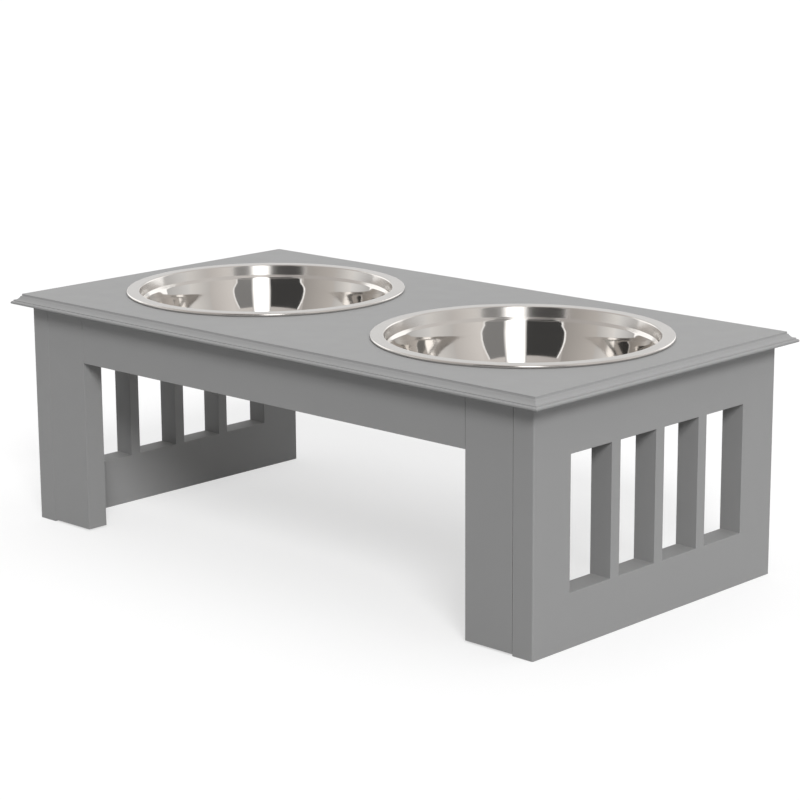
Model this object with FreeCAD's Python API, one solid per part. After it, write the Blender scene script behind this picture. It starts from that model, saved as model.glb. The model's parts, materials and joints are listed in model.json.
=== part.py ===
"""Raised feeding station: a moulded board on two slotted end panels, with two lift-out steel bowls.

Millimetres, +Z up. X runs along the board, from left to right as seen from the front, and the front faces -Y.
The origin is on the floor, under the middle of the board. The bowls set the plan of the station: the holes
follow the bowls, the frame follows the holes, and the board follows the frame.
"""
import FreeCAD, Part
import math
import os

from FreeCAD import Vector

# Bowls
rim_diameter = 177.8
rim_gap = 38.6              # between the two rims
rim_height = 2.0            # rolled rim above the board
bead_land = 0.6             # flat under the rolled rim, which sits on the board
flange_width = 8.0          # rim's outside to the wall's inside
sheet = 0.7
throat_ease = 1.2           # turn from flange to band
band_depth = 4.5            # short band of wall below the board's upper face
band_lean = 12.5            # leans are in degrees from upright
crease_ease = 0.5           # foot of the band
shoulder_drop = 1.9
shoulder_step = 1.3
shoulder_ease = 2.5
upper_drop = 5.1            # shoulder to waist
upper_lean = 16.0
waist_ease = 45.0
waist_drop = 11.3           # waist to belly, where the wall is steepest
waist_lean = 10.1
belly_ease = 90.0
lower_lean = 20.5           # belly to base
bowl_depth = 46.0           # board's upper face to the underside of the base
base_ease = 16.0
hole_clearance = 1.4        # board to bowl, all round

# Board
top_height = 147.8          # floor to the board's upper face
top_overhang = 10.0         # lip past the frame, the same on all four sides

# Moulded edge of the board, from the flat field outwards and down
quirk_depth = 1.45          # upright step at the field's edge
quirk_ledge = 0.65          # flat at the foot of the step
cove_reach = 2.2
cove_drop = 2.35
cove_hollow = 0.28          # how far the cove's middle sinks below a straight slope
lip_ledge = 1.1             # flat at the foot of the cove
lip_step = 0.7              # second upright step, above the lip
nose_reach = 1.3            # round on the lip's upper corner
nose_drop = 0.9
lip_flat = 0.5
lip_ease = 0.4              # round under the lip

# End panels
panel_thick = 14.6
hole_to_panel = 4.2         # board left between a hole and the end panel
stile_width = 30.6          # solid board in front of and behind the slots
sill_height = 31.7          # solid board under the slots
slat_width = 7.6
slat_pitch = 39.1
slat_count = 3

# Front legs, front apron and back rail
leg_width = 34.4
leg_thick = 14.2
leg_lift = 1.1              # the legs stop this far above the floor
apron_height = 32.0
hole_to_rail = 11.3         # board left between a hole and the apron or rail
outer_ease = 1.0            # round on the end panels' outer corners
seam_ease = 0.4             # round on the edges that make the seams

# Corner blocks
block_overlap = 1.6         # blocks reach this far past the legs, onto the apron
block_height = 24.0
block_nose = 5.0            # flat on the two thin corners

# Dowels
dowel_diameter = 6.0
dowel_chamfer = 0.8
dowel_cover = 5.6           # panel left behind a dowel hole
dowel_bite = 13.0           # dowel hole in the apron or rail
leg_core = 8.4              # leg left between the dowel holes from its two sides
dowel_end_gap = 0.5
dowel_fit = 0.05            # radial clearance
leg_dowel_margin = 22.0     # end dowels from the leg's ends
leg_dowel_count = 3

# Screws
screw_diameter = 3.5
screw_head_diameter = 6.8
screw_head_height = 2.2
screw_head_ease = 0.8
screw_point = 2.5
screw_point_diameter = 0.9
cross_width = 0.9           # bars of the cross in the head
cross_length = 4.0
cross_depth = 1.2
screw_fit = 0.1             # radial clearance of the shank
counterbore_fit = 0.35      # radial clearance of the head
screw_end_gap = 0.5
side_seat = 8.0             # block left under a side screw's head
side_cover = 6.2            # wood left in front of a side screw's point
side_level = 6.5            # side screws from the block's upper and lower faces
top_seat = 10.0             # block left under a top screw's head
top_cover = 2.2             # board left over a top screw's point
top_inset = 9.0             # top screws from both walls of the corner

# Plan, from the bowls outwards
rim_radius = rim_diameter / 2
wall_radius = rim_radius - flange_width
hole_radius = wall_radius + sheet + hole_clearance
bowl_x = (rim_diameter + rim_gap) / 2
panel_in = bowl_x + hole_radius + hole_to_panel
panel_out = panel_in + panel_thick
leg_in = panel_in - leg_width
leg_middle_x = panel_in - leg_width / 2
block_side = leg_width + block_overlap
rail_front = hole_radius + hole_to_rail
rail_middle_y = rail_front + leg_thick / 2
frame_back = rail_front + leg_thick
frame_front = -frame_back
top_length = 2 * (panel_out + top_overhang)
top_width = 2 * (frame_back + top_overhang)

# Levels, from the board's upper face down
lip_drop = quirk_depth + cove_drop
nose_top = lip_drop + lip_step
top_thick = nose_top + nose_drop + lip_flat + lip_ease
top_underside = top_height - top_thick
apron_bottom = top_underside - apron_height
block_bottom = top_underside - block_height

ORIGIN = Vector(0, 0, 0)
X_AXIS = Vector(1, 0, 0)
Y_AXIS = Vector(0, 1, 0)
Z_AXIS = Vector(0, 0, 1)
NEAR = 1e-6
DIAGONAL = math.sqrt(0.5)


def box(x_span, y_span, z_span):
    """Return a box between two X, two Y and two Z values."""
    lengths = [high - low for low, high in (x_span, y_span, z_span)]
    return Part.makeBox(*lengths, Vector(x_span[0], y_span[0], z_span[0]))


def line(start, end):
    """Return a straight edge."""
    return Part.LineSegment(start, end).toShape()


def mirror_x(shape):
    """Return the shape's twin on the other side, left for right."""
    return shape.mirror(ORIGIN, X_AXIS)


def mirror_y(shape):
    """Return the shape's twin on the other side, front for back."""
    return shape.mirror(ORIGIN, Y_AXIS)


def both_sides(shapes):
    """Return the shapes and their twins, left and right."""
    return shapes + [mirror_x(shape) for shape in shapes]


def spread(low, high, count):
    """Return count values evenly spaced from low to high."""
    step = (high - low) / max(count - 1, 1)
    return [low + step * i for i in range(count)]


def upright_edges(shape, x_values, y_values):
    """Return the shape's upright edges that stand at one of the X and one of the Y values."""
    found = []
    for edge in shape.Edges:
        extent = edge.BoundBox
        upright = extent.XLength < NEAR and extent.YLength < NEAR
        at_x = any(abs(extent.XMin - x) < NEAR for x in x_values)
        at_y = any(abs(extent.YMin - y) < NEAR for y in y_values)
        if upright and at_x and at_y:
            found.append(edge)
    return found


def bulge(start, end, corner):
    """Return an arc from start to end that bulges towards a corner, as a quarter of an ellipse does."""
    middle = corner + (start - corner + end - corner) * (1 - DIAGONAL)
    return Part.Arc(start, middle, end).toShape()


def moulding(half_width, side):
    """Return the edges of one moulded edge of the board in the XZ plane, from the field to the underside."""
    cove_start = quirk_ledge
    cove_end = cove_start + cove_reach
    step = cove_end + lip_ledge
    tip = step + nose_reach
    nose_foot = nose_top + nose_drop
    sink = cove_hollow / math.hypot(cove_reach, cove_drop)

    def at(reach, drop):
        """Return the point this far out from the field's edge and this far down."""
        return Vector(side * (half_width - tip + reach), 0, top_height - drop)

    cove_middle = at(cove_start + cove_reach / 2 - sink * cove_drop,
                     quirk_depth + cove_drop / 2 + sink * cove_reach)
    return [
        line(at(0, 0), at(0, quirk_depth)),
        line(at(0, quirk_depth), at(cove_start, quirk_depth)),
        Part.Arc(at(cove_start, quirk_depth), cove_middle, at(cove_end, lip_drop)).toShape(),
        line(at(cove_end, lip_drop), at(step, lip_drop)),
        line(at(step, lip_drop), at(step, nose_top)),
        bulge(at(step, nose_top), at(tip, nose_foot), at(tip, nose_top)),
        line(at(tip, nose_foot), at(tip, nose_foot + lip_flat)),
        bulge(at(tip, nose_foot + lip_flat), at(tip - lip_ease, top_thick), at(tip, top_thick)),
    ]


def moulded_bar(half_width, length):
    """Return a bar along Y with the moulding on both of its long edges."""
    right = moulding(half_width, 1)
    left = moulding(half_width, -1)
    field = line(left[0].firstVertex().Point, right[0].firstVertex().Point)
    underside = line(left[-1].lastVertex().Point, right[-1].lastVertex().Point)
    section = Part.Face(Part.Wire(Part.__sortEdges__([field, underside] + right + left)))
    section.translate(Y_AXIS * (-length / 2))
    return section.extrude(Y_AXIS * length)


def board():
    """Return the moulded board, mitred at its corners, with the two holes that the bowls hang in."""
    along = moulded_bar(top_length / 2, top_width)
    across = moulded_bar(top_width / 2, top_length)
    across.rotate(ORIGIN, Z_AXIS, 90)
    plate = along.common(across)
    cutters = [Part.makeCylinder(hole_radius, top_height, Vector(bowl_x, 0, 0))]
    return plate.cut(both_sides(cutters))


def right_panel():
    """Return the right end panel: one board, eased at its corners, with a window split by slats."""
    ends = (frame_front, frame_back)
    panel = box((panel_in, panel_out), ends, (0, top_underside))
    panel = panel.makeFillet(outer_ease, upright_edges(panel, [panel_out], ends))
    panel = panel.makeFillet(seam_ease, upright_edges(panel, [panel_in], ends))
    depth = (panel_in, panel_out)
    levels = (sill_height, apron_bottom)
    window = box(depth, (frame_front + stile_width, frame_back - stile_width), levels)
    half_run = slat_pitch * (slat_count - 1) / 2
    slats = []
    for middle in spread(-half_run, half_run, slat_count):
        slats.append(box(depth, (middle - slat_width / 2, middle + slat_width / 2), levels))
    return panel.cut(window.cut(slats))


def right_leg():
    """Return the right front leg, eased where it meets its neighbours in front."""
    leg = box((leg_in, panel_in), (frame_front, -rail_front), (leg_lift, top_underside))
    return leg.makeFillet(seam_ease, upright_edges(leg, (leg_in, panel_in), [frame_front]))


def back_bar(half_length):
    """Return a rail under the board at the back, eased at the ends of its outer face."""
    ends = (-half_length, half_length)
    bar = box(ends, (rail_front, frame_back), (apron_bottom, top_underside))
    return bar.makeFillet(seam_ease, upright_edges(bar, ends, [frame_back]))


def back_right_block():
    """Return the corner block under the board at the back right, a triangle with its thin corners cut off."""
    far_x = panel_in - block_side
    far_y = rail_front - block_side
    corners = [(panel_in, rail_front), (far_x, rail_front), (far_x, rail_front - block_nose),
               (panel_in - block_nose, far_y), (panel_in, far_y), (panel_in, rail_front)]
    outline = Part.makePolygon([Vector(x, y, block_bottom) for x, y in corners])
    return Part.Face(outline).extrude(Z_AXIS * block_height)


def dowel(seam, back_bite, ahead_bite):
    """Return a dowel along X across a seam, and the hole for it, which reaches both bites from the seam."""
    radius = dowel_diameter / 2
    hole_length = back_bite + ahead_bite
    start = seam - X_AXIS * back_bite
    hole = Part.makeCylinder(radius + dowel_fit, hole_length, start, X_AXIS)
    pin = Part.makeCylinder(radius, hole_length - 2 * dowel_end_gap, start + X_AXIS * dowel_end_gap, X_AXIS)
    rims = [edge for edge in pin.Edges if edge.isClosed()]
    return pin.makeChamfer(dowel_chamfer, rims), hole


def right_dowels():
    """Return the dowels of the right half with their holes, by joint."""
    panel_bite = panel_thick - dowel_cover
    leg_bite = (leg_width - leg_core) / 2
    leg_levels = spread(leg_lift + leg_dowel_margin, top_underside - leg_dowel_margin, leg_dowel_count)
    rail_levels = (apron_bottom + apron_height / 4, top_underside - apron_height / 4)
    joints = {
        "leg": (leg_levels, panel_in, -rail_middle_y, leg_bite, panel_bite),
        "apron": (rail_levels, leg_in, -rail_middle_y, dowel_bite, leg_bite),
        "rail": (rail_levels, panel_in, rail_middle_y, dowel_bite, panel_bite),
    }
    dowels = {}
    for name, (levels, x, y, back_bite, ahead_bite) in joints.items():
        dowels[name] = [dowel(Vector(x, y, level), back_bite, ahead_bite) for level in levels]
    return dowels


def screw(seat, axis, reach, bore):
    """Return a screw whose head bears on a seat, and the hole for it.

    The point lies at reach along the axis, and the hole for the head runs back by bore.
    """
    head_radius = screw_head_diameter / 2
    radius = screw_diameter / 2
    crown = seat - axis * screw_head_height
    head = Part.makeCylinder(head_radius, screw_head_height, crown, axis)
    rim = [edge for edge in head.Edges if edge.isClosed() and (edge.CenterOfMass - crown).Length < NEAR]
    head = head.makeFillet(screw_head_ease, rim)
    upright = Y_AXIS if axis.isEqual(Z_AXIS, NEAR) else Z_AXIS
    level = axis.cross(upright)
    for bar, across in ((upright, level), (level, upright)):
        long_half = bar * (cross_length / 2)
        short_half = across * (cross_width / 2)
        corners = [crown - long_half - short_half, crown + long_half - short_half,
                   crown + long_half + short_half, crown - long_half + short_half]
        recess = Part.Face(Part.makePolygon(corners + corners[:1])).extrude(axis * cross_depth)
        head = head.cut(recess)
    shank_length = reach - screw_point
    shank = Part.makeCylinder(radius, shank_length, seat, axis)
    point = Part.makeCone(radius, screw_point_diameter / 2, screw_point, seat + axis * shank_length, axis)
    hole = Part.makeCylinder(radius + screw_fit, reach + screw_end_gap, seat, axis)
    counterbore = Part.makeCylinder(head_radius + counterbore_fit, bore, seat - axis * bore, axis)
    return head.fuse([shank, point]), hole.fuse(counterbore)


def back_right_screws():
    """Return the back right corner's side screws and its top screws, each with its hole."""
    side_reach = side_seat + min(panel_thick, leg_thick) - side_cover
    to_panel = Vector(panel_in - side_seat, rail_front - leg_width / 2, top_underside - side_level)
    to_rail = Vector(leg_middle_x, rail_front - side_seat, block_bottom + side_level)
    to_top = Vector(panel_in - top_inset, rail_front - top_inset, top_underside - top_seat)
    side = [screw(to_panel, X_AXIS, side_reach, block_side), screw(to_rail, Y_AXIS, side_reach, block_side)]
    top = [screw(to_top, Z_AXIS, top_seat + top_thick - top_cover, block_height)]
    return side, top


def leaning(start, drop, lean):
    """Return the (r, z) foot of a wall that drops from a start point and leans in by some degrees."""
    r, z = start
    return r - drop * math.tan(math.radians(lean)), z - drop


def offset_path(path, distance):
    """Return a path of (r, z, round) corners moved sideways, to the left of the way it runs."""
    points = [Vector(r, 0, z) for r, z, _ in path]
    ways = [(b - a).normalize() for a, b in zip(points, points[1:])]
    sides = [Vector(-way.z, 0, way.x) for way in ways]
    moved = [points[0] + sides[0] * distance]
    rounds = [path[0][2]]
    for i in range(1, len(points) - 1):
        turn = ways[i - 1].x * ways[i].z - ways[i - 1].z * ways[i].x
        half_angle = ways[i - 1].getAngle(ways[i]) / 2
        bisector = (sides[i - 1] + sides[i]).normalize()
        moved.append(points[i] + bisector * (distance / math.cos(half_angle)))
        rounds.append(path[i][2] - math.copysign(distance, turn))
    moved.append(points[-1] + sides[-1] * distance)
    rounds.append(path[-1][2])
    return [(point.x, point.z, ease) for point, ease in zip(moved, rounds)]


def rounded_wire(corners):
    """Return a closed wire in the XZ plane through corners given as (x, z, round)."""
    points = [Vector(x, 0, z) for x, z, _ in corners]
    starts = []
    ends = []
    edges = []
    for i, here in enumerate(points):
        back = (points[i - 1] - here).normalize()
        ahead = (points[(i + 1) % len(points)] - here).normalize()
        half_angle = back.getAngle(ahead) / 2
        ease = corners[i][2]
        setback = ease / math.tan(half_angle)
        starts.append(here + back * setback)
        ends.append(here + ahead * setback)
        if ease:
            middle = here + (back + ahead).normalize() * (ease / math.sin(half_angle) - ease)
            edges.append(Part.Arc(starts[i], middle, ends[i]).toShape())
    for end, start in zip(ends, starts[1:] + starts[:1]):
        if (start - end).Length > NEAR:
            edges.append(line(end, start))
    return Part.Wire(Part.__sortEdges__(edges))


def right_bowl():
    """Return the right bowl: pressed sheet, hanging from its rolled rim on the board."""
    flange_underside = rim_height - sheet
    bead_outer_ease = rim_height / 2
    bead_inner_ease = flange_underside / 2
    bead_in = rim_radius - bead_outer_ease - bead_land - bead_inner_ease
    base_top = sheet - bowl_depth
    band_foot = leaning((wall_radius, rim_height), rim_height + band_depth, band_lean)
    shoulder = (band_foot[0] - shoulder_step, band_foot[1] - shoulder_drop)
    waist = leaning(shoulder, upper_drop, upper_lean)
    belly = leaning(waist, waist_drop, waist_lean)
    foot = leaning(belly, belly[1] - base_top, lower_lean)
    inside = [
        (rim_radius, rim_height, bead_outer_ease),
        (wall_radius, rim_height, throat_ease),
        (*band_foot, crease_ease),
        (*shoulder, shoulder_ease),
        (*waist, waist_ease),
        (*belly, belly_ease),
        (*foot, base_ease),
        (0, base_top, 0),
    ]
    outside = offset_path(inside, sheet)
    bead = [(bead_in, flange_underside, 0), (bead_in, 0, bead_inner_ease), (rim_radius, 0, bead_outer_ease)]
    section = Part.Face(rounded_wire(inside + outside[:0:-1] + bead))
    bowl = section.revolve(ORIGIN, Z_AXIS, 360)
    bowl.translate(Vector(bowl_x, 0, top_height))
    return bowl


def assembly():
    """Return every node of the station by name."""
    dowels = right_dowels()
    side_screws, top_screws = back_right_screws()
    corner_holes = [hole for _, hole in side_screws + top_screws]
    right_holes = [hole for joint in dowels.values() for _, hole in joint]
    right_holes += corner_holes + [mirror_y(hole) for hole in corner_holes]
    holes = both_sides(right_holes)

    nodes = {
        "top_board": board().cut(holes),
        "front_apron": mirror_y(back_bar(leg_in)).cut(holes),
        "back_rail": back_bar(panel_in).cut(holes),
    }
    back_block = back_right_block().cut(corner_holes)
    right_pieces = {
        "{}_end_panel": right_panel().cut(holes),
        "{}_front_leg": right_leg().cut(holes),
        "back_{}_corner_block": back_block,
        "front_{}_corner_block": mirror_y(back_block),
        "{}_bowl": right_bowl(),
    }
    for joint, pairs in dowels.items():
        right_pieces["{}_" + joint + "_dowels"] = Part.makeCompound([pin for pin, _ in pairs])
    for name, piece in right_pieces.items():
        nodes[name.format("right")] = piece
        nodes[name.format("left")] = mirror_x(piece)

    for name, group in (("block_screws", side_screws), ("top_screws", top_screws)):
        back = [body for body, _ in group]
        front = [mirror_y(body) for body in back]
        nodes[name] = Part.makeCompound(both_sides(back + front))
    return nodes


os.makedirs("parts", exist_ok=True)
for node_name, node_shape in assembly().items():
    solids = node_shape.Solids
    node = solids[0] if len(solids) == 1 else Part.makeCompound(solids)
    node.exportStep("parts/" + node_name + ".step")
    print(node_name, len(solids), round(node.Volume, 1), node.isValid())
print("board", top_length, top_width, "height", top_height + rim_height)
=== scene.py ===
"""Looks of a raised feeding station: grey painted boards and two polished steel bowls in a plain studio.

Metres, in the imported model's frame: +X to the right as seen from the front, +Y to the back, +Z up. Sizes in
the classes are written in millimetres, as a maker would, and turned to metres where a mesh is made.
"""

import json
import logging
import math
from collections.abc import Callable, Iterable, Sequence
from dataclasses import dataclass
from enum import Enum

import bmesh
import bpy
from bmesh.types import BMEdge, BMFace, BMesh, BMVert
from mathutils import Matrix, Quaternion, Vector

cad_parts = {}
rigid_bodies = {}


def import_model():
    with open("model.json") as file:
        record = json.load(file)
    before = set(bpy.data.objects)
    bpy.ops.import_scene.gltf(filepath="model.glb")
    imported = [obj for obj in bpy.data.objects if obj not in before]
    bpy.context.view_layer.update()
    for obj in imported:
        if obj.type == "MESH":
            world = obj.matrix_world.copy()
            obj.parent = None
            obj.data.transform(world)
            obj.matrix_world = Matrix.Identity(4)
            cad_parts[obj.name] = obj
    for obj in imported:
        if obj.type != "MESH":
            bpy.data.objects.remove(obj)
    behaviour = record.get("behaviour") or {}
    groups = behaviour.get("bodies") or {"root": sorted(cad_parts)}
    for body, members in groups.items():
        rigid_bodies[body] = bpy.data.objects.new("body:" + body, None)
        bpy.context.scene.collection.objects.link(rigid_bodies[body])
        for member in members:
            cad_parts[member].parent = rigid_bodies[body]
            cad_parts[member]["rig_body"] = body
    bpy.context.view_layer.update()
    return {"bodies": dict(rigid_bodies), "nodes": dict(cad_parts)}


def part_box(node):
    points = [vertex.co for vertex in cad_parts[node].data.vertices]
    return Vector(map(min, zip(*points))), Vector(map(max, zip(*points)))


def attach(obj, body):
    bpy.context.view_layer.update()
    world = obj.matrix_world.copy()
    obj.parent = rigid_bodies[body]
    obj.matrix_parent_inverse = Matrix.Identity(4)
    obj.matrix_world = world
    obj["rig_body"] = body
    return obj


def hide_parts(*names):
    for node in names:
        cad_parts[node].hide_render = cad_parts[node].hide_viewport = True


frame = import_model()
LOG = logging.getLogger("feeding_station")
MM = 0.001
NEAR = 1e-6
SHARP = math.radians(50)    # an edge that turns more than this is sharp
FACING = 0.99               # a face whose normal has more than this along an axis faces that way
BOWL_X = 108.2              # mm from the middle of the station to the axis of each bowl


class Side(Enum):
    """The two ends of the station, as seen from the front, with their sign along X."""

    LEFT = -1
    RIGHT = 1

    @property
    def word(self) -> str:
        """The side's name as the CAD nodes spell it."""
        return self.name.lower()


class Slot(Enum):
    """The record's material slots for the new pieces' finishes. Their classes hold one each, which nothing
    here reads.
    """

    PAINT = "painted_board"
    STEEL = "bowl_steel"


def linear(code: str) -> tuple[float, float, float, float]:
    """Turn an sRGB hex colour into linear RGBA.

    Args:
        code: Six hex digits after a hash.

    Returns:
        Linear red, green and blue, and full alpha.
    """
    parts = [int(code[i:i + 2], 16) / 255 for i in (1, 3, 5)]
    red, green, blue = (p / 12.92 if p <= 0.04045 else ((p + 0.055) / 1.055) ** 2.4 for p in parts)
    return red, green, blue, 1.0


def per_mm(size: float) -> float:
    """Return the texture scale whose pattern repeats about every so many millimetres."""
    return 1 / (size * MM)


def add_node(tree: bpy.types.NodeTree, kind: str, inputs: dict | None = None, **settings) -> bpy.types.Node:
    """Add a node to a tree.

    Args:
        tree: The tree that gets the node.
        kind: Blender's name for the node type.
        inputs: Values, or the sockets to link from, by input name or number.
        settings: The node's own properties.

    Returns:
        The new node.
    """
    node = tree.nodes.new(kind)
    for name, value in settings.items():
        setattr(node, name, value)
    for key, value in (inputs or {}).items():
        if isinstance(value, bpy.types.NodeSocket):
            tree.links.new(value, node.inputs[key])
        else:
            node.inputs[key].default_value = value
    return node


def noise(tree: bpy.types.NodeTree, place: bpy.types.NodeSocket, size: float,
          detail: float) -> bpy.types.NodeSocket:
    """Add a noise texture.

    Args:
        tree: The tree that gets the node.
        place: Where the noise is looked up.
        size: How far apart its blotches lie, in millimetres.
        detail: How many finer layers it has.

    Returns:
        The noise, mostly between 0 and 1.
    """
    made = add_node(tree, "ShaderNodeTexNoise", {"Vector": place, "Scale": per_mm(size), "Detail": detail})
    return made.outputs["Fac"]


def blend(tree: bpy.types.NodeTree, share: bpy.types.NodeSocket, first: str,
          second: str) -> bpy.types.NodeSocket:
    """Add a blend of two colours.

    Args:
        tree: The tree that gets the node.
        share: The second colour's share.
        first: The first colour in hex.
        second: The second colour in hex.

    Returns:
        The blended colour. The node's colours are its inputs 6 and 7 and its output 2.
    """
    made = add_node(tree, "ShaderNodeMix", {"Factor": share, 6: linear(first), 7: linear(second)},
                    data_type="RGBA")
    return made.outputs[2]


def remap(tree: bpy.types.NodeTree, value: bpy.types.NodeSocket, ends: tuple[float, float],
          span: tuple[float, float] = (0.0, 1.0)) -> bpy.types.NodeSocket:
    """Add a linear change of range, held at its ends.

    Args:
        tree: The tree that gets the node.
        value: The value to change.
        ends: The results at the two ends of the span.
        span: The values that the ends stand for.

    Returns:
        The result.
    """
    made = add_node(tree, "ShaderNodeMapRange", {
        "Value": value, "From Min": span[0], "From Max": span[1], "To Min": ends[0], "To Max": ends[1]})
    return made.outputs["Result"]


def bumps(tree: bpy.types.NodeTree, height: bpy.types.NodeSocket, reach: float) -> bpy.types.NodeSocket:
    """Add low bumps.

    Args:
        tree: The tree that gets the node.
        height: The bumps' height, from 0 to 1.
        reach: What a height of 1 stands for, in millimetres.

    Returns:
        The bumpy normal.
    """
    made = add_node(tree, "ShaderNodeBump", {"Height": height, "Strength": 1.0, "Distance": reach * MM})
    return made.outputs["Normal"]


@dataclass(frozen=True)
class Finish:
    """A surface finish. Each finish makes its material once and hands it out again."""

    name: str

    def material(self) -> bpy.types.Material:
        """Return the finish's material, made on first use."""
        made = bpy.data.materials.get(self.name)
        if made is None:
            made = bpy.data.materials.new(self.name)
            made.use_nodes = True
            tree = made.node_tree
            tree.nodes.clear()
            surface = self.surface(tree)
            add_node(tree, "ShaderNodeOutputMaterial", {"Surface": surface})
        return made

    def surface(self, tree: bpy.types.NodeTree) -> bpy.types.NodeSocket:
        """Build the finish's nodes.

        Args:
            tree: The material's empty node tree.

        Returns:
            The shader socket for the material's surface.
        """
        raise NotImplementedError


@dataclass(frozen=True)
class SatinPaint(Finish):
    """Satin lacquer sprayed on fibreboard.

    To the eye it is one even neutral grey with no grain: a soft wide sheen, the faint dimples that sprayed
    paint dries with, and a tone that drifts a little from place to place.
    """

    light: str = "#959595"
    dark: str = "#939393"
    drift: float = 70.0         # mm between the lighter and darker places
    dimple: float = 2.4         # mm between the dimples
    dimple_height: float = 0.012
    patch: float = 14.0         # mm between duller and shinier patches
    contrast: tuple[float, float] = (0.3, 0.7)      # span of the patches' noise that the sheen spans
    sheen: tuple[float, float] = (0.52, 0.57)       # roughness of the shinier and the duller patches
    ior: float = 1.45           # index of refraction

    def surface(self, tree: bpy.types.NodeTree) -> bpy.types.NodeSocket:
        """Build the paint's nodes.

        Args:
            tree: The material's empty node tree.

        Returns:
            The shader socket for the material's surface.
        """
        place = add_node(tree, "ShaderNodeTexCoord").outputs["Object"]
        tone = noise(tree, place, self.drift, 3.0)
        dull = noise(tree, place, self.patch, 2.0)
        peel = noise(tree, place, self.dimple, 1.0)
        paint = add_node(tree, "ShaderNodeBsdfPrincipled", {
            "Base Color": blend(tree, tone, self.dark, self.light),
            "Roughness": remap(tree, dull, self.sheen, self.contrast), "IOR": self.ior,
            "Normal": bumps(tree, peel, self.dimple_height)})
        return paint.outputs["BSDF"]


@dataclass(frozen=True)
class BareEdge(SatinPaint):
    """Painted shade for the seams, on the ends of boards where they meet another board.

    To the eye it is a dull dark brown grey with a fine fuzzy grain. It stands for the shadow in the seams
    and shows only as a dark line there.
    """

    # dark painted shade that stands for the shadow inside the seams
    light: str = "#57504A"
    dark: str = "#453F39"
    drift: float = 1.2
    dimple: float = 0.6
    dimple_height: float = 0.05
    patch: float = 3.0
    sheen: tuple[float, float] = (0.8, 0.9)


@dataclass(frozen=True)
class SpunSteel(Finish):
    """Stainless sheet, pressed and then polished on a lathe.

    To the eye it is a bright, slightly warm mirror. Fine rings left by the polishing wheel run round the
    bowl, so what it mirrors is drawn out up and down the wall, and sharper round it.
    """

    light: str = "#DAD7D3"
    dark: str = "#D3CFCB"
    ring: float = 1.5           # mm between polishing rings, coarser than the real ones so that they show
    ring_height: float = 0.002
    cloud: float = 22.0         # mm between duller and brighter clouds
    contrast: tuple[float, float] = (0.1, 0.9)      # span of the clouds' noise that the gloss spans
    gloss: tuple[float, float] = (0.04, 0.07)       # roughness of the brighter and the duller clouds
    stretch: float = 0.35       # how far the rings draw out what the steel mirrors
    stretch_turn: float = 0.25  # the way they draw it, as a share of a full turn
    buffed: tuple[float, float] = (141.2, 142.4)    # mm over the floor: above, the steel is only buffed
    buffed_more: float = 0.12   # how much rougher the buffed band and flange are

    def surface(self, tree: bpy.types.NodeTree) -> bpy.types.NodeSocket:
        """Build the steel's nodes.

        Args:
            tree: The material's empty node tree.

        Returns:
            The shader socket for the material's surface.
        """
        place = add_node(tree, "ShaderNodeTexCoord").outputs["Object"]
        # Both bowls share one pattern, counted from their own axis, because they mirror each other.
        folded = add_node(tree, "ShaderNodeVectorMath", {0: place}, operation="ABSOLUTE")
        centred = add_node(tree, "ShaderNodeVectorMath", {
            0: folded.outputs["Vector"], 1: (BOWL_X * MM, 0, 0)}, operation="SUBTRACT").outputs["Vector"]
        flat = add_node(tree, "ShaderNodeVectorMath", {0: centred, 1: (1, 1, 0)}, operation="MULTIPLY")
        radius = add_node(tree, "ShaderNodeVectorMath", {0: flat.outputs["Vector"]}, operation="LENGTH")
        height = add_node(tree, "ShaderNodeSeparateXYZ", {"Vector": centred}).outputs["Z"]
        along = add_node(tree, "ShaderNodeCombineXYZ", {"X": radius.outputs["Value"], "Y": height})
        rings = noise(tree, along.outputs["Vector"], self.ring, 1.0)
        clouds = noise(tree, place, self.cloud, 1.0)
        buffed = (self.buffed[0] * MM, self.buffed[1] * MM)
        rough = add_node(tree, "ShaderNodeMath", {
            0: remap(tree, clouds, self.gloss, self.contrast),
            1: remap(tree, height, (0.0, self.buffed_more), buffed)}, operation="ADD")
        steel = add_node(tree, "ShaderNodeBsdfPrincipled", {
            "Base Color": blend(tree, clouds, self.dark, self.light), "Metallic": 1.0,
            "Roughness": rough.outputs["Value"], "Anisotropic": self.stretch,
            "Anisotropic Rotation": self.stretch_turn, "Normal": bumps(tree, rings, self.ring_height)})
        return steel.outputs["BSDF"]


@dataclass(frozen=True)
class TurnedBeech(Finish):
    """Bare beech, turned to a dowel: pale straw with short darker flecks that run along the pin."""

    light: str = "#D8B98F"
    dark: str = "#BE9564"
    fleck: float = 0.5          # mm across a fleck
    fleck_length: float = 6.0   # mm along the pin
    dull: tuple[float, float] = (0.7, 0.55)     # roughness of the flecks and of the wood between them
    ior: float = 1.5            # index of refraction

    def surface(self, tree: bpy.types.NodeTree) -> bpy.types.NodeSocket:
        """Build the wood's nodes.

        Args:
            tree: The material's empty node tree.

        Returns:
            The shader socket for the material's surface.
        """
        place = add_node(tree, "ShaderNodeTexCoord").outputs["Object"]
        scale = (per_mm(self.fleck_length), per_mm(self.fleck), per_mm(self.fleck))
        drawn = add_node(tree, "ShaderNodeMapping", {"Vector": place, "Scale": scale})
        grain = add_node(tree, "ShaderNodeTexNoise", {
            "Vector": drawn.outputs["Vector"], "Scale": 1.0, "Detail": 4.0}).outputs["Fac"]
        wood = add_node(tree, "ShaderNodeBsdfPrincipled", {
            "Base Color": blend(tree, grain, self.dark, self.light),
            "Roughness": remap(tree, grain, self.dull), "IOR": self.ior})
        return wood.outputs["BSDF"]


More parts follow.
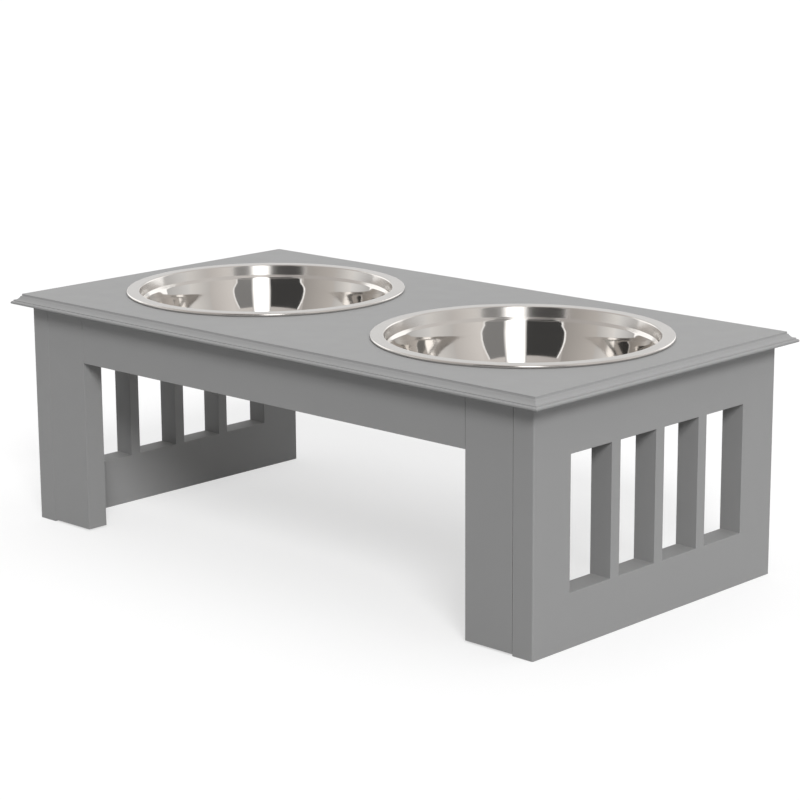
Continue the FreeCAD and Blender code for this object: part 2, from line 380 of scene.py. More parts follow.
@dataclass(frozen=True)
class ZincPlate(Finish):
    """Bright zinc plate on a screw: a cool grey metal, cloudy where the plating is thicker."""

    light: str = "#D2D5D8"
    dark: str = "#B4B8BE"
    cloud: float = 1.2          # mm between the clouds
    gloss: tuple[float, float] = (0.22, 0.38)

    def surface(self, tree: bpy.types.NodeTree) -> bpy.types.NodeSocket:
        """Build the plating's nodes.

        Args:
            tree: The material's empty node tree.

        Returns:
            The shader socket for the material's surface.
        """
        place = add_node(tree, "ShaderNodeTexCoord").outputs["Object"]
        clouds = noise(tree, place, self.cloud, 3.0)
        zinc = add_node(tree, "ShaderNodeBsdfPrincipled", {
            "Base Color": blend(tree, clouds, self.dark, self.light), "Metallic": 1.0,
            "Roughness": remap(tree, clouds, self.gloss)})
        return zinc.outputs["BSDF"]


@dataclass(frozen=True)
class CardGlow(Finish):
    """A studio card: a lit board that only shows in what the steel mirrors.

    To the eye it is one soft tone, or a drift from one level of light to another along the card.
    """

    colour: str = "#FFFFFF"
    levels: tuple[float, float] = (1.0, 1.0)    # light at the card's two ends
    along: str = "along_card"                   # name of the attribute that runs from 0 to 1 along the card

    def surface(self, tree: bpy.types.NodeTree) -> bpy.types.NodeSocket:
        """Build the card's nodes.

        Args:
            tree: The material's empty node tree.

        Returns:
            The shader socket for the material's surface.
        """
        start, end = self.levels
        glow = add_node(tree, "ShaderNodeEmission", {"Color": linear(self.colour), "Strength": start})
        if start != end:
            place = add_node(tree, "ShaderNodeAttribute", attribute_name=self.along)
            tree.links.new(remap(tree, place.outputs["Fac"], self.levels), glow.inputs["Strength"])
        return glow.outputs["Emission"]


@dataclass(frozen=True)
class PaleFloor(Finish):
    """A pale studio floor that keeps the object's shadow and is otherwise as white as the backdrop."""

    colour: str = "#FBFBFB"
    bounce: str = "#9C9C9C"     # its colour for the light that it throws back up
    keep: float = 0.4           # share of the floor's own shading that the camera sees

    def surface(self, tree: bpy.types.NodeTree) -> bpy.types.NodeSocket:
        """Build the floor's nodes.

        Args:
            tree: The material's empty node tree.

        Returns:
            The shader socket for the material's surface.
        """
        seen = seen_directly(tree)
        colour = blend(tree, seen, self.bounce, self.colour)
        matt = add_node(tree, "ShaderNodeBsdfDiffuse", {"Color": colour})
        white = add_node(tree, "ShaderNodeEmission", {"Color": (1, 1, 1, 1), "Strength": 1.0})
        share = add_node(tree, "ShaderNodeMath", {0: seen, 1: 1 - self.keep}, operation="MULTIPLY")
        mixed = add_node(tree, "ShaderNodeMixShader", {0: share.outputs["Value"], 1: matt.outputs["BSDF"],
                                                       2: white.outputs["Emission"]})
        return mixed.outputs["Shader"]


def seen_directly(tree: bpy.types.NodeTree) -> bpy.types.NodeSocket:
    """Return a socket that is 1 for rays that show a background: camera, glossy and transmission rays.

    Args:
        tree: The floor's or the world's node tree.

    Returns:
        The socket.
    """
    path = add_node(tree, "ShaderNodeLightPath")
    first = add_node(tree, "ShaderNodeMath", {
        0: path.outputs["Is Camera Ray"], 1: path.outputs["Is Glossy Ray"]}, operation="MAXIMUM")
    both = add_node(tree, "ShaderNodeMath", {
        0: first.outputs["Value"], 1: path.outputs["Is Transmission Ray"]}, operation="MAXIMUM")
    return both.outputs["Value"]


PAINT = SatinPaint("satin_lacquer_on_fibreboard")
ROUTED_PAINT = SatinPaint("satin_lacquer_on_routed_edges", light="#939393", dark="#909090", dimple=1.3,
                          dimple_height=0.016, sheen=(0.56, 0.64))
# painted seam shade: a dark colour on board ends that meet another board, standing for the shadow in the gap
SEAM_SHADE_PAINT = BareEdge("fibreboard_sawn_edge")
POLISHED = SpunSteel("stainless_steel_polished_inside")
DULL_STEEL = SpunSteel("stainless_steel_brushed_outside", gloss=(0.22, 0.30), ring_height=0.004)
BEECH = TurnedBeech("beech_turned_bare")
ZINC = ZincPlate("steel_zinc_plated")


def quarter(start: Vector, end: Vector, corner: Vector, steps: int) -> list[Vector]:
    """Return points on a quarter of an ellipse that bulges towards a corner.

    Args:
        start: Where the curve begins, which isn't returned.
        end: Where it ends, which is the last point returned.
        corner: The corner it bulges towards.
        steps: How many points.

    Returns:
        The points in order.
    """
    points = []
    for i in range(1, steps + 1):
        angle = math.pi / 2 * i / steps
        back, ahead = 1 - math.sin(angle), 1 - math.cos(angle)
        points.append(corner + (start - corner) * back + (end - corner) * ahead)
    return points


def hollow(start: Vector, end: Vector, sink: float, steps: int) -> list[Vector]:
    """Return points on a shallow hollow, which sinks to the right of the way from its start to its end.

    Args:
        start: Where the hollow begins, which isn't returned.
        end: Where it ends, which is the last point returned.
        sink: How far its middle lies off a straight line.
        steps: How many points.

    Returns:
        The points in order.
    """
    way = end - start
    aside = Vector((way.y, -way.x)).normalized() * sink
    shares = [i / steps for i in range(1, steps + 1)]
    return [start + way * share + aside * (4 * share * (1 - share)) for share in shares]


def rounded_path(corners: Sequence[tuple[float, float, float]], turn: float, support: float) -> list[Vector]:
    """Return points along a path with rounded corners, close together in the rounds.

    Args:
        corners: The path's corners as (x, z, round). The first and last have no round.
        turn: Largest turn between points in a round, in radians.
        support: How far from a round's ends the next points lie, to hold the straight runs flat.

    Returns:
        The points from the first corner to the last.
    """
    rounds = []
    for i, (x, z, ease) in enumerate(corners):
        here = Vector((x, z))
        if not ease:
            rounds.append([here])
            continue
        back = (Vector(corners[i - 1][:2]) - here).normalized()
        ahead = (Vector(corners[i + 1][:2]) - here).normalized()
        half = back.angle(ahead) / 2
        centre = here + (back + ahead).normalized() * (ease / math.sin(half))
        spoke = here + back * (ease / math.tan(half)) - centre
        sweep = math.pi - 2 * half
        if back.cross(ahead) > 0:
            sweep = -sweep
        steps = max(4, math.ceil(abs(sweep) / turn))
        rounds.append([centre + Matrix.Rotation(sweep * k / steps, 2) @ spoke for k in range(steps + 1)])
    points = list(rounds[0])
    for following in rounds[1:]:
        run = following[0] - points[-1]
        if run.length > 3 * support:
            step = run.normalized() * support
            points += [points[-1] + step, following[0] - step]
        points += following
    return points


def leaning(start: tuple[float, float], drop: float, lean: float) -> tuple[float, float]:
    """Return the foot of a wall that drops from a start point and leans in.

    Args:
        start: The wall's upper end as (radius, height).
        drop: How far down it goes.
        lean: Its lean in degrees from upright.

    Returns:
        The foot as (radius, height).
    """
    radius, height = start
    return radius - drop * math.tan(math.radians(lean)), height - drop


def sidestep(path: Sequence[Vector], distance: float) -> list[Vector]:
    """Return a path moved sideways, to the right of the way it runs."""
    moved = []
    for i, point in enumerate(path):
        way = (path[min(i + 1, len(path) - 1)] - path[max(i - 1, 0)]).normalized()
        moved.append(point + Vector((way.y, -way.x)) * distance)
    return moved


def chain(mesh: BMesh, points: Iterable[Sequence[float]], closed: bool = False) -> list[BMVert | BMEdge]:
    """Add a chain of edges to a mesh.

    Args:
        mesh: The mesh.
        points: The chain's points in metres.
        closed: Whether the last point joins the first.

    Returns:
        The chain's vertices and edges.
    """
    verts = [mesh.verts.new(point) for point in points]
    pairs = list(zip(verts, verts[1:]))
    if closed:
        pairs.append((verts[-1], verts[0]))
    return verts + [mesh.edges.new(pair) for pair in pairs]


def spin_round(mesh: BMesh, geometry: Sequence[BMVert | BMEdge], axis_x: float, steps: int) -> None:
    """Spin a chain of edges once round an upright axis.

    Args:
        mesh: The mesh that holds the chain.
        geometry: The chain's vertices and edges.
        axis_x: Where the axis crosses X.
        steps: How many steps make a full turn.
    """
    bmesh.ops.spin(mesh, geom=list(geometry), cent=(axis_x, 0, 0), axis=(0, 0, 1), dvec=(0, 0, 0),
                   angle=2 * math.pi, steps=steps, use_merge=True, use_normal_flip=False, use_duplicate=False)


def ease_edges(mesh: BMesh, wanted: Callable[[BMEdge], bool], width: float, segments: int) -> None:
    """Round a mesh's sharp edges.

    Args:
        mesh: The mesh.
        wanted: Says which of the sharp edges to round.
        width: How far the round reaches from the edge, in millimetres.
        segments: How many facets the round has.
    """
    sharp = [e for e in mesh.edges if len(e.link_faces) == 2 and e.calc_face_angle(0) > SHARP]
    bmesh.ops.bevel(mesh, geom=[e for e in sharp if wanted(e)], offset=width * MM, offset_type="OFFSET",
                    affect="EDGES", segments=segments, profile=0.5, material=-1, clamp_overlap=True)


def upright(edge: BMEdge) -> bool:
    """Return whether an edge stands upright."""
    across = edge.verts[1].co - edge.verts[0].co
    return across.xy.length < NEAR


class SubAssembly:
    """Pieces that stand for CAD nodes and move with their bodies."""

    slot: Slot = Slot.PAINT

    def place(self, mesh: BMesh, name: str, node: str, finishes: Sequence[Finish],
              flat_faces: bool = True) -> None:
        """Make a piece of a finished mesh, in place of a CAD node.

        Args:
            mesh: The mesh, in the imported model's frame. It is freed.
            name: The piece's name.
            node: The CAD node that the piece stands for.
            finishes: Its finishes, in the order of the mesh's material numbers.
            flat_faces: Whether its large faces are flat, so that small rounds don't bend their shading.
        """
        data = bpy.data.meshes.new(name)
        mesh.to_mesh(data)
        mesh.free()
        data.shade_smooth()
        for finish in finishes:
            data.materials.append(finish.material())
        piece = bpy.data.objects.new(name, data)
        bpy.context.scene.collection.objects.link(piece)
        if flat_faces:
            shading = piece.modifiers.new("flat_faces", "WEIGHTED_NORMAL")
            shading.keep_sharp = True
            shading.weight = 100
        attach(piece, frame["nodes"][node]["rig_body"])
        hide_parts(node)
        LOG.info("%s stands for %s: %d faces", name, node, len(data.polygons))


@dataclass
class MouldedBoard(SubAssembly):
    """The board: a flat field with two holes, a step, a shallow cove, a second step and a thin lip."""

    quirk: float = 1.45         # first step, at the field's edge
    ledge: float = 0.65
    cove_reach: float = 2.2
    cove_drop: float = 2.35
    cove_hollow: float = 0.28
    lip_ledge: float = 1.1
    lip_step: float = 0.7       # second step, above the lip
    nose_reach: float = 1.3
    nose_drop: float = 0.9
    lip_ease: float = 0.4
    field_ease: float = 0.25
    step_ease: float = 0.15
    mitre_ease: float = 0.3
    hair: float = 0.005         # left off all round, so that rounding keeps the board inside the CAD box
    hole_radius: float = 83.0
    hole_ease: float = 0.6
    hole_steps: int = 128

    def moulding(self, thickness: float) -> list[Vector]:
        """Return the moulded edge's section.

        Args:
            thickness: The board's thickness in millimetres.

        Returns:
            Points as (inset from the outline, height over the underside), from the underside to the field.
        """
        lip_top = thickness - self.quirk - self.cove_drop
        nose_top = lip_top - self.lip_step
        cove_foot = Vector((self.nose_reach + self.lip_ledge, lip_top))
        cove_head = cove_foot + Vector((self.cove_reach, self.cove_drop))
        field_in = cove_head.x + self.ledge
        points = [Vector((self.lip_ease, 0))]

        def turn(corner: Vector, ahead: Vector, steps: int) -> None:
            """Add a round from the last point to a point ahead that bulges towards a corner."""
            points.extend(quarter(points[-1], ahead, corner, steps))

        turn(Vector((0, 0)), Vector((0, self.lip_ease)), 3)
        points.append(Vector((0, nose_top - self.nose_drop)))
        turn(Vector((0, nose_top)), Vector((self.nose_reach, nose_top)), 6)
        points.append(Vector((self.nose_reach, lip_top - self.step_ease)))
        turn(Vector((self.nose_reach, lip_top)), Vector((self.nose_reach + self.step_ease, lip_top)), 2)
        points.append(cove_foot)
        points += hollow(cove_foot, cove_head, self.cove_hollow, 6)
        points += [Vector((field_in, cove_head.y)), Vector((field_in, thickness - self.field_ease))]
        turn(Vector((field_in, thickness)), Vector((field_in + self.field_ease, thickness)), 3)
        return points

    def sweep_moulding(self, mesh: BMesh, low: Vector, high: Vector) -> None:
        """Raise a rectangle along the moulding's section, which makes the moulding with its mitres.

        Args:
            mesh: The empty mesh.
            low: The board's lowest corner.
            high: The board's highest corner.
        """
        size = high - low
        section = self.moulding(size.z / MM)

        def extent(inset: float) -> Vector:
            """Return the length and width left by an inset, in metres."""
            left_off = 2 * (inset + self.hair) * MM
            return Vector((size.x - left_off, size.y - left_off, 1))

        now = extent(section[0].x)
        bmesh.ops.create_grid(mesh, x_segments=1, y_segments=1, size=0.5,
                              matrix=Matrix.Translation((0, 0, low.z)) @ Matrix.Diagonal((*now, 1)))
        mesh.faces.ensure_lookup_table()
        face = mesh.faces[0]
        for start, end in zip(section, section[1:]):
            made = bmesh.ops.extrude_face_region(mesh, geom=[face])["geom"]
            verts = [part for part in made if isinstance(part, BMVert)]
            face = next(part for part in made if isinstance(part, BMFace))
            wanted = extent(end.x)
            bmesh.ops.scale(mesh, vec=(wanted.x / now.x, wanted.y / now.y, 1), verts=verts)
            bmesh.ops.translate(mesh, vec=(0, 0, (end.y - start.y) * MM), verts=verts)
            now = wanted
        mitres = [e for e in mesh.edges if all(abs(d) > NEAR for d in (e.verts[0].co - e.verts[1].co).xy)]
        mitres += [e for e in mesh.edges if upright(e)]
        bmesh.ops.bevel(mesh, geom=mitres, offset=self.mitre_ease * MM, offset_type="OFFSET", affect="EDGES",
                        segments=2, profile=0.5, material=-1, clamp_overlap=True)

    def build(self) -> None:
        """Model the board and put it in place."""
        low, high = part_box("top_board")
        mesh = bmesh.new()
        self.sweep_moulding(mesh, low, high)
        wide = [f for f in mesh.faces if f.calc_area() > 0.5 * (high.x - low.x) * (high.y - low.y)]
        bmesh.ops.delete(mesh, geom=wide, context="FACES_ONLY")
        for face in mesh.faces:
            face.material_index = 1
        top, foot = high.z / MM, low.z / MM
        ease = self.hole_ease
        for side in Side:
            wall_foot = Vector((self.hole_radius, foot + ease))
            rim = Vector((self.hole_radius, top - ease))
            section = [Vector((self.hole_radius + ease, foot))]
            section += quarter(section[0], wall_foot, Vector((self.hole_radius, foot)), 3)
            section.append(rim)
            field = Vector((self.hole_radius + ease, top))
            section += quarter(rim, field, Vector((self.hole_radius, top)), 3)
            axis_x = side.value * BOWL_X * MM
            before = set(mesh.faces)
            lining = chain(mesh, [(axis_x + p.x * MM, 0, p.y * MM) for p in section])
            spin_round(mesh, lining, axis_x, self.hole_steps)
            for face in set(mesh.faces) - before:
                face.material_index = 1
        bmesh.ops.remove_doubles(mesh, verts=mesh.verts, dist=NEAR)
        for level, way in ((high.z, 1), (low.z, -1)):
            rims = [e for e in mesh.edges if e.is_boundary
                    and all(abs(v.co.z - level) < NEAR for v in e.verts)]
            filled = bmesh.ops.triangle_fill(mesh, use_beauty=True, use_dissolve=False, edges=rims,
                                             normal=(0, 0, way))
            for part in filled["geom"]:
                if isinstance(part, BMFace):
                    part.material_index = 0
        bmesh.ops.recalc_face_normals(mesh, faces=mesh.faces)
        self.place(mesh, "moulded_board", "top_board", [PAINT, ROUTED_PAINT])


@dataclass
class SlottedEnd(SubAssembly):
    """An end panel: one board with a window, split into slots by slats left standing in it."""

    side: Side
    stile: float = 30.6
    sill: float = 31.7
    header: float = 32.0
    slat: float = 7.6
    pitch: float = 39.1
    slats: int = 3
    outer_ease: float = 1.0
    ease: float = 0.25

    def slot_edges(self, low: Vector, high: Vector) -> list[tuple[float, float]]:
        """Return each slot's two sides along Y, in metres.

        Args:
            low: The panel's lowest corner.
            high: The panel's highest corner.

        Returns:
            Pairs of Y values, from the front to the back.
        """
        middle = (low.y + high.y) / 2
        first = middle - self.pitch * MM * (self.slats - 1) / 2
        edges = [low.y + self.stile * MM]
        for i in range(self.slats):
            centre = first + i * self.pitch * MM
            edges += [centre - self.slat * MM / 2, centre + self.slat * MM / 2]
        edges.append(high.y - self.stile * MM)
        return list(zip(edges[::2], edges[1::2]))

    def build(self) -> None:
        """Model the panel and put it in place."""
        node = f"{self.side.word}_end_panel"
        low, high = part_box(node)
        slots = self.slot_edges(low, high)
        levels = (low.z + self.sill * MM, high.z - self.header * MM)
        mesh = bmesh.new()
        size, middle = high - low, (low + high) / 2
        facing = Matrix.Rotation(math.pi / 2, 4, "Y")
        bmesh.ops.create_grid(mesh, x_segments=1, y_segments=1, size=0.5, matrix=Matrix.Translation(
            (low.x, middle.y, middle.z)) @ Matrix.Diagonal((1, size.y, size.z, 1)) @ facing)
        cuts = [((0, y, 0), (0, 1, 0)) for pair in slots for y in pair]
        cuts += [((0, 0, z), (0, 0, 1)) for z in levels]
        for place, normal in cuts:
            bmesh.ops.bisect_plane(mesh, geom=mesh.verts[:] + mesh.edges[:] + mesh.faces[:], dist=NEAR,
                                   plane_co=place, plane_no=normal)
        open_faces = []
        for face in mesh.faces:
            centre = face.calc_center_median()
            if levels[0] < centre.z < levels[1] and any(a < centre.y < b for a, b in slots):
                open_faces.append(face)
        bmesh.ops.delete(mesh, geom=open_faces, context="FACES")
        made = bmesh.ops.extrude_face_region(mesh, geom=mesh.faces[:])["geom"]
        verts = [part for part in made if isinstance(part, BMVert)]
        bmesh.ops.translate(mesh, vec=(size.x, 0, 0), verts=verts)
        bmesh.ops.recalc_face_normals(mesh, faces=mesh.faces)
        for face in mesh.faces:
            if abs(face.normal.x) < FACING and self.in_window(face, low, high, levels):
                face.material_index = 1
        outer_x = high.x if self.side is Side.RIGHT else low.x

        def outer_corner(edge: BMEdge) -> bool:
            """Return whether an edge is one of the panel's two outer corners."""
            place = edge.verts[0].co
            at_end = min(abs(place.y - low.y), abs(place.y - high.y)) < NEAR
            return upright(edge) and abs(place.x - outer_x) < NEAR and at_end

        ease_edges(mesh, outer_corner, self.outer_ease, 4)
        ease_edges(mesh, lambda e: True, self.ease, 3)
        self.place(mesh, f"{self.side.word}_slotted_end", node, [PAINT, ROUTED_PAINT])

    def in_window(self, face: BMFace, low: Vector, high: Vector, levels: tuple[float, float]) -> bool:
        """Return whether a face lies on the wall of a slot.

        Args:
            face: The face.
            low: The panel's lowest corner.
            high: The panel's highest corner.
            levels: The slots' lower and upper ends.

        Returns:
            True for a slot's wall.
        """
        centre = face.calc_center_median()
        inside_y = low.y + NEAR < centre.y < high.y - NEAR
        return inside_y and levels[0] - NEAR < centre.z < levels[1] + NEAR


@dataclass
class FrameBars(SubAssembly):
    """The front legs, the apron between them and the rail at the back, all plain boards with eased arrises.

    Each bar has the piece's name, its CAD node, the gap that its glue line leaves open at its two ends along
    X, and which of those ends, by their sign, get painted seam shade because they meet another board. The
    real gap and the painted shade on those ends draw the thin dark seams beside the legs.
    """

    ease: float = 0.2
    bars: tuple[tuple[str, str, float, tuple[int, ...]], ...] = (
        ("left_leg_strip", "left_front_leg", 0.05, (-1,)), ("right_leg_strip", "right_front_leg", 0.22, (1,)),
        ("apron_board", "front_apron", 0.0, (-1, 1)), ("hind_board", "back_rail", 0.05, (-1, 1)))

    def build(self) -> None:
        """Model the bars and put them in place."""
        for name, node, gap, seam_shade_ends in self.bars:
            low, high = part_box(node)
            low.x += gap * MM
            high.x -= gap * MM
            mesh = bmesh.new()
            bmesh.ops.create_cube(mesh, size=1, matrix=Matrix.Translation((low + high) / 2)
                                  @ Matrix.Diagonal((*(high - low), 1)))
            ease_edges(mesh, lambda e: True, self.ease, 3)
            for face in mesh.faces:
                # ends that meet another board get the dark painted seam shade; the gap beside them is real
                # geometry
                face.material_index = int(any(face.normal.x * way > FACING for way in seam_shade_ends))
            self.place(mesh, name, node, [PAINT, SEAM_SHADE_PAINT])


@dataclass
class SteelBowl(SubAssembly):
    """A bowl of pressed sheet: rolled rim, flat flange, short band, shoulder, waisted wall and round base."""

    side: Side
    slot: Slot = Slot.STEEL
    rim_radius: float = 88.9
    rim_height: float = 2.0
    bead_land: float = 0.6
    flange: float = 8.0
    sheet: float = 0.7
    throat_ease: float = 1.2
    band: float = 4.5
    band_lean: float = 12.5     # leans are in degrees from upright
    crease_ease: float = 0.5
    shoulder_drop: float = 1.9
    shoulder_step: float = 1.3
    shoulder_ease: float = 2.5
    upper_drop: float = 5.1
    upper_lean: float = 16.0
    waist_ease: float = 45.0
    waist_drop: float = 11.3
    waist_lean: float = 10.1
    belly_ease: float = 90.0
    lower_lean: float = 20.5
    depth: float = 46.0
    base_ease: float = 16.0
    wall_turn: float = 2.0      # degrees between points in the rounds of the wall
    rim_turn: float = 12.0      # degrees between points in the rounds of the rolled rim
    support: float = 0.5        # how far beside a round lie the points that keep straight runs flat
    steps: int = 224            # facets round the axis

    def section(self) -> list[Vector]:
        """Return the sheet's closed section as (radius, height over the board) in millimetres."""
        wall = self.rim_radius - self.flange
        floor = self.sheet - self.depth
        underside = self.rim_height - self.sheet
        bead_in = self.bead_inside()
        band_foot = leaning((wall, self.rim_height), self.rim_height + self.band, self.band_lean)
        shoulder = (band_foot[0] - self.shoulder_step, band_foot[1] - self.shoulder_drop)
        waist = leaning(shoulder, self.upper_drop, self.upper_lean)
        belly = leaning(waist, self.waist_drop, self.waist_lean)
        foot = leaning(belly, belly[1] - floor, self.lower_lean)
        inside = rounded_path([
            (0, floor, 0),
            (*foot, self.base_ease),
            (*belly, self.belly_ease),
            (*waist, self.waist_ease),
            (*shoulder, self.shoulder_ease),
            (*band_foot, self.crease_ease),
            (wall, self.rim_height, self.throat_ease),
            (bead_in, self.rim_height, 0)], math.radians(self.wall_turn), self.support)
        rim = rounded_path([
            (bead_in, self.rim_height, 0),
            (self.rim_radius, self.rim_height, self.rim_height / 2),
            (self.rim_radius, 0, self.rim_height / 2),
            (bead_in, 0, underside / 2),
            (bead_in, underside, 0)], math.radians(self.rim_turn), self.support)
        return inside + rim[1:-1] + sidestep(inside, self.sheet)[::-1]

    def bead_inside(self) -> float:
        """Return the radius of the rolled rim's inner side, in millimetres."""
        return self.rim_radius - self.rim_height / 2 - self.bead_land - (self.rim_height - self.sheet) / 2

    def build(self) -> None:
        """Model the bowl and put it in place."""
        node = f"{self.side.word}_bowl"
        board_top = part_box("top_board")[1].z
        axis_x = self.side.value * BOWL_X * MM
        mesh = bmesh.new()
        section = chain(mesh, [(axis_x + p.x * MM, 0, board_top + p.y * MM) for p in self.section()])
        spin_round(mesh, section, axis_x, self.steps)
        bmesh.ops.remove_doubles(mesh, verts=mesh.verts, dist=NEAR)
        bmesh.ops.recalc_face_normals(mesh, faces=mesh.faces)
        axis = Vector((axis_x, 0, 0))
        bead_in = self.bead_inside() * MM
        for face in mesh.faces:
            spoke = face.calc_center_median() - axis
            outward = face.normal.xy.dot(spoke.xy)
            downward = face.normal.z < -0.01
            if spoke.xy.length < bead_in and (outward > NEAR or downward):
                face.material_index = 1
        self.place(mesh, f"{self.side.word}_steel_bowl", node, [POLISHED, DULL_STEEL], flat_faces=False)


@dataclass
class HiddenFixings:
    """The corner blocks, dowels and screws, which keep their CAD shape and get their finishes here."""

    blocks: str = "corner_block"
    dowels: str = "dowels"
    screws: str = "screws"

    def build(self) -> None:
        """Dress the CAD nodes that show as they are."""
        finishes = {self.blocks: PAINT, self.dowels: BEECH, self.screws: ZINC}
        for name, node in sorted(frame["nodes"].items()):
            finish = next((f for word, f in finishes.items() if name.endswith(word)), None)
            if finish is None:
                continue
            node.data.materials.clear()
            node.data.materials.append(finish.material())
            LOG.info("%s is dressed in %s", name, finish.name)


@dataclass(frozen=True)
class Card:
    """A studio card: a patch of a sphere round the object, given by where it is seen from the object."""

    name: str
    finish: CardGlow
    middle: float                       # azimuth that the card's own azimuths count from, in degrees
    azimuths: tuple[float, float]
    elevations: tuple[float, float]
    distance: float                     # metres
    taper: float = 0.0                  # share of its azimuths that is gone at its upper edge
    taper_bend: float = 1.5             # over 1, most of the taper lies near the upper edge
    level: float = 147.8                # height that its elevations count from, in millimetres
    facet: float = 4.0                  # largest facet, in degrees

    def build(self) -> None:
        """Model the card, which only mirrors show."""
        mesh = bmesh.new()
        along = mesh.verts.layers.float.new(self.finish.along)
        start, end = self.azimuths
        low, high = self.elevations
        columns = max(2, math.ceil(abs(end - start) / self.facet))
        rows = max(2, math.ceil((high - low) / self.facet))
        bmesh.ops.create_grid(mesh, x_segments=columns, y_segments=rows, size=0.5)
        for vert in mesh.verts:
            across, up = vert.co.x + 0.5, vert.co.y + 0.5
            vert[along] = across
            turn = self.middle + (start + (end - start) * across) * (1 - self.taper * up ** self.taper_bend)
            pitch = Matrix.Rotation(math.radians(low + (high - low) * up), 3, "X")
            spoke = pitch.inverted() @ Vector((0, -self.distance, 0))
            vert.co = Matrix.Rotation(math.radians(turn), 3, "Z") @ spoke + Vector((0, 0, self.level * MM))
        data = bpy.data.meshes.new(self.name)
        mesh.to_mesh(data)
        mesh.free()
        data.materials.append(self.finish.material())
        card = bpy.data.objects.new(self.name, data)
        bpy.context.scene.collection.objects.link(card)
        card.visible_camera = False
        card.visible_diffuse = False
        card.visible_shadow = False


@dataclass(frozen=True)
class Lamp:
    """A wide soft lamp, far off, which the steel doesn't mirror."""

    name: str
    turn: float         # where it is seen from the object: degrees from the front to the right
    height: float       # degrees over the horizon
    strength: float     # watts to the square metre
    spread: float       # how wide it is as seen from the object, in degrees

    def hang(self) -> None:
        """Hang the lamp."""
        turn, height = math.radians(self.turn), math.radians(self.height)
        level = Vector((math.sin(turn), -math.cos(turn), 0)) * math.cos(height)
        towards = level + Vector((0, 0, math.sin(height)))
        data = bpy.data.lights.new(self.name, "SUN")
        data.energy = self.strength
        data.angle = math.radians(self.spread)
        lamp = bpy.data.objects.new(self.name, data)
        lamp.rotation_euler = towards.to_track_quat("Z", "Y").to_euler()
        lamp.visible_glossy = False
        bpy.context.scene.collection.objects.link(lamp)


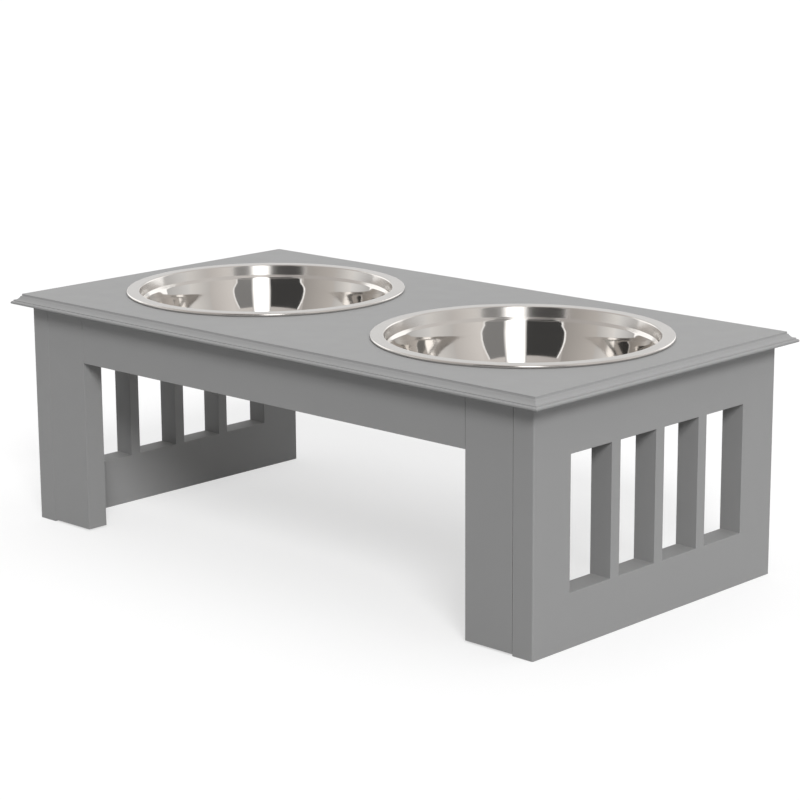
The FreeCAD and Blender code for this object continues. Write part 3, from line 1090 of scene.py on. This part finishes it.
@dataclass
class Studio:
    """A plain studio: pale floor, white backdrop, soft light from above and the right, and mirror cards."""

    camera_place: tuple[float, float, float] = (1023.2, -1064.0, 439.4)
    camera_aim: tuple[float, float, float] = (2.35, 7.58, 91.5)
    camera_roll: float = -0.326     # degrees
    lens: float = 110.79
    sensor: float = 36.0
    clip: tuple[float, float] = (0.05, 100.0)   # metres
    camera_azimuth: float = 43.9    # degrees from the front to the right, which the cards count from
    lamps: tuple[Lamp, ...] = (
        Lamp("soft_light_above", turn=180, height=80, strength=1.4, spread=70),
        Lamp("key_light", turn=52.4, height=35, strength=2.28, spread=19),
        Lamp("fill_light_beside", turn=95, height=4, strength=0.38, spread=30))
    fill: float = 0.245             # strength of the even light from all round
    floor_reach: float = 30.0       # metres from the middle to each edge of the floor

    def build(self) -> None:
        """Set up the floor, the light, the cards and the camera."""
        self.set_view()
        self.lay_floor()
        self.light_world()
        for lamp in self.lamps:
            lamp.hang()
        self.set_cards()
        self.set_camera()

    def set_view(self) -> None:
        """Show colours as they are, with no film look."""
        bpy.context.scene.view_settings.view_transform = "Standard"

    def lay_floor(self) -> None:
        """Lay a wide floor under the station."""
        mesh = bmesh.new()
        bmesh.ops.create_grid(mesh, x_segments=1, y_segments=1, size=self.floor_reach)
        data = bpy.data.meshes.new("floor")
        mesh.to_mesh(data)
        mesh.free()
        data.materials.append(PaleFloor("floor_paper").material())
        floor = bpy.data.objects.new("floor", data)
        bpy.context.scene.collection.objects.link(floor)

    def light_world(self) -> None:
        """Make the surroundings white where they are seen, and a soft even light elsewhere."""
        world = bpy.data.worlds.new("studio")
        world.use_nodes = True
        tree = world.node_tree
        tree.nodes.clear()
        white = add_node(tree, "ShaderNodeBackground", {"Color": (1, 1, 1, 1), "Strength": 1.0})
        soft = add_node(tree, "ShaderNodeBackground", {"Color": (1, 1, 1, 1), "Strength": self.fill})
        mixed = add_node(tree, "ShaderNodeMixShader", {0: seen_directly(tree), 1: soft.outputs["Background"],
                                                       2: white.outputs["Background"]})
        add_node(tree, "ShaderNodeOutputWorld", {"Surface": mixed.outputs["Shader"]})
        bpy.context.scene.world = world

    def set_cards(self) -> None:
        """Set the cards that give the bowls their bands of light and dark."""
        white = "#FFFFFF"
        low, high, behind, tall = (-2, 26), (26, 80), (2, 40), (1, 60)
        at_strip, at_block, past_block = 1.88, 1.9, 2.21

        def hang(name: str, colour: str, levels: tuple[float, float], azimuths: tuple[float, float],
                 elevations: tuple[float, float], distance: float = 2.2, taper: float = 0.0) -> None:
            """Hang a card with its own glow."""
            glow = CardGlow(f"{name}_glow", colour, levels)
            Card(name, glow, self.camera_azimuth, azimuths, elevations, distance, taper).build()

        hang("right_wall", "#FFFAF5", (0.45, 0.66), (-39, -72), low)
        hang("right_wall_far", "#FFFDFB", (0.65, 1.0), (-72, -92), low)
        hang("right_wall_end", white, (0.96, 0.6), (-92, -118), low)
        hang("right_wall_above", "#FFFBF8", (0.5, 0.8), (-39, -175), high)
        hang("left_wall", "#FFFBF8", (0.88, 0.68), (36, 62), low)
        hang("left_wall_far", "#FFFDFB", (0.67, 0.92), (62, 86), low)
        hang("left_wall_end", white, (0.88, 0.6), (86, 118), low)
        hang("left_wall_above", "#FFFCFA", (0.72, 0.8), (36, 175), high)
        hang("wall_behind_block", "#FFFBF8", (0.62, 0.84), (-39, 36), (-2, 80), past_block)
        hang("backdrop", white, (0.8, 0.8), (155, 205), behind)
        hang("backdrop_left", white, (1.5, 1.5), (118, 155), behind)
        hang("backdrop_right", white, (1.5, 1.5), (205, 242), behind)
        hang("strip", white, (2.2, 2.2), (-2.2, 13.6), tall, at_strip)
        hang("strip_right", white, (0.4, 1.6), (-4.4, -2.2), tall, at_strip)
        hang("strip_left", white, (1.6, 0.4), (13.6, 16.0), tall, at_strip)
        for row, span, taper in (("low", (1, 10), 0.0), ("middle", (10, 24), 0.12), ("high", (30, 58), 0.0)):
            hang(f"{row}_dark", white, (0.065, 0.065), (-38.7, -3.2), span, at_block, taper)
            hang(f"{row}_grey", white, (0.29, 0.29), (15.4, 34.6), span, at_block, taper)
            hang(f"{row}_dark_edge", white, (1.4, 1.4), (-40.2, -38.7), span, at_block, taper)
            hang(f"{row}_grey_edge", white, (1.2, 1.2), (34.6, 36.1), span, at_block, taper)

    def set_camera(self) -> None:
        """Put the camera where the photograph was taken from."""
        data = bpy.data.cameras.new("camera")
        data.lens = self.lens
        data.sensor_width = self.sensor
        data.clip_start, data.clip_end = self.clip
        camera = bpy.data.objects.new("camera", data)
        place = Vector(self.camera_place) * MM
        aim = Vector(self.camera_aim) * MM
        camera.location = place
        camera.rotation_mode = "QUATERNION"
        roll = Quaternion((0, 0, 1), math.radians(self.camera_roll))
        camera.rotation_quaternion = (aim - place).to_track_quat("-Z", "Y") @ roll
        bpy.context.scene.collection.objects.link(camera)
        bpy.context.scene.camera = camera


def clear_startup() -> None:
    """Remove what Blender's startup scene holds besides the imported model."""
    kept = set(frame["nodes"].values()) | set(frame["bodies"].values())
    for thing in list(bpy.data.objects):
        if thing not in kept:
            bpy.data.objects.remove(thing)


def main() -> None:
    """Build the studio and the station, piece by piece."""
    logging.basicConfig(level=logging.INFO, format="%(name)s: %(message)s")
    clear_startup()
    Studio().build()
    MouldedBoard().build()
    for side in Side:
        SlottedEnd(side).build()
    FrameBars().build()
    for side in Side:
        SteelBowl(side).build()
    HiddenFixings().build()


if __name__ == "__main__":
    main()
